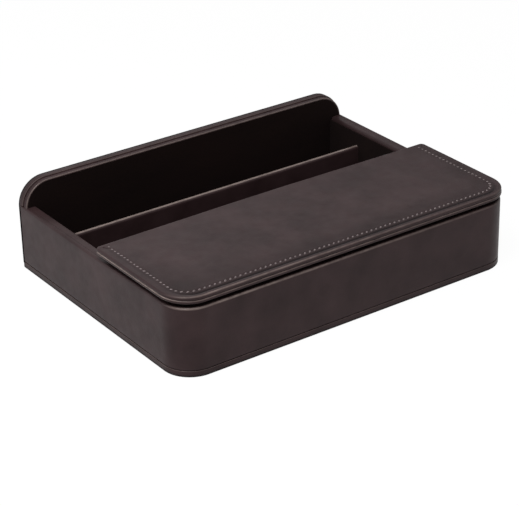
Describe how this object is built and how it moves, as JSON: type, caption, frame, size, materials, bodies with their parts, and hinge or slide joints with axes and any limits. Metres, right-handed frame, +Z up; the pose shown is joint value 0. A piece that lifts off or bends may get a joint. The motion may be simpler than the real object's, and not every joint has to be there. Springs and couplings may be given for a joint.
{
  "type": "valet box",
  "caption": "Low leather-covered valet box with a tall round-shouldered back, a divider and a hinged padded lid over its front compartment.",
  "frame": {"origin": "middle of the underside, on the surface that the box stands on", "axes": "+Z up, -Y out of the long front face, +X to the right seen from the front"},
  "size_m": [0.2944, 0.216, 0.0713],
  "materials": {
    "cover_leather": "smooth semi-gloss very dark brown leather",
    "neck_leather": "smooth dark brown leather",
    "suede": "matt dark brown suede",
    "base_felt": "matt dark brown felt",
    "foam": "thin sheet foam",
    "fibreboard": "medium-density fibreboard",
    "hinge_steel": "antique bronze plated steel",
    "screw_steel": "antique bronze plated steel",
    "brad_steel": "bright wire"
  },
  "bodies": {
    "box": {"base_board": "fibreboard", "base_wrap": "cover_leather", "base_felt": "base_felt", "left_wall_board": "fibreboard", "right_wall_board": "fibreboard", "front_wall_board": "fibreboard", "corner_post_left": "fibreboard", "corner_post_right": "fibreboard", "back_board": "fibreboard", "back_infill_card": "fibreboard", "back_inner_board": "fibreboard", "back_cover": "cover_leather", "back_edge_binding": "cover_leather", "back_lining": "suede", "wall_wrap": "cover_leather", "rim_cap": "cover_leather", "left_lining": "suede", "right_lining": "suede", "front_floor_lining": "suede", "middle_floor_lining": "suede", "rear_floor_lining": "suede", "divider_board": "fibreboard", "divider_cover": "cover_leather", "partition_board": "fibreboard", "partition_cap": "cover_leather", "partition_front_lining": "suede", "partition_rear_lining": "suede", "front_neck": "neck_leather", "left_neck": "neck_leather", "right_neck": "neck_leather", "hinge_body_leaf_left": "hinge_steel", "hinge_body_leaf_right": "hinge_steel", "hinge_pin_left": "hinge_steel", "hinge_pin_right": "hinge_steel", "body_hinge_screws": "screw_steel", "back_brads": "brad_steel", "base_brads": "brad_steel"},
    "lid": {"lid_board": "fibreboard", "lid_pad": "foam", "lid_cover": "cover_leather", "lid_lining": "suede", "hinge_lid_leaf_left": "hinge_steel", "hinge_lid_leaf_right": "hinge_steel", "lid_hinge_screws": "screw_steel"}
  },
  "joints": [
    {"name": "lid_hinge", "type": "hinge", "parent": "box", "child": "lid", "pos_m": [0, -0.001, 0.0563], "axis": [-1, 0, 0], "range_deg": [0, 100]}
  ]
}
